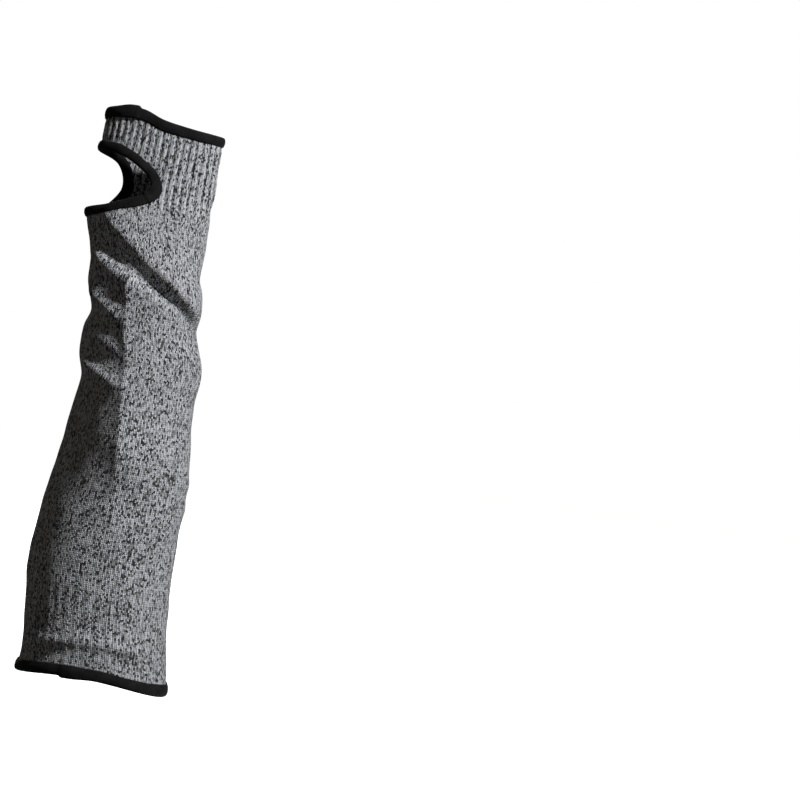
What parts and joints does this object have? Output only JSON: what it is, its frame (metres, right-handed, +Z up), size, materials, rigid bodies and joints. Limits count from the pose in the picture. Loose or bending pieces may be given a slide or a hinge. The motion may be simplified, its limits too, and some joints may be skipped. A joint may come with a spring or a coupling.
{
  "type": "cut resistant sleeve",
  "caption": "Knitted cut-resistant arm sleeve in its worn shape: ribbed tube from elbow to fingers, open at both ends, with a thumb hole and tape-bound edges.",
  "frame": {"origin": "middle of the elbow opening, where the arm goes in", "axes": "+Z up the arm from the elbow to the fingers, -Y the palm side, -X the thumb side"},
  "size_m": [0.1109, 0.0946, 0.4127],
  "materials": {
    "knit": "matt heathered grey knit of light and dark yarn",
    "tape": "matt black knitted binding tape"
  },
  "bodies": {
    "root": {"knit_sleeve": "knit", "finger_tape": "tape", "thumb_tape": "tape", "elbow_tape": "tape"}
  },
  "joints": []
}
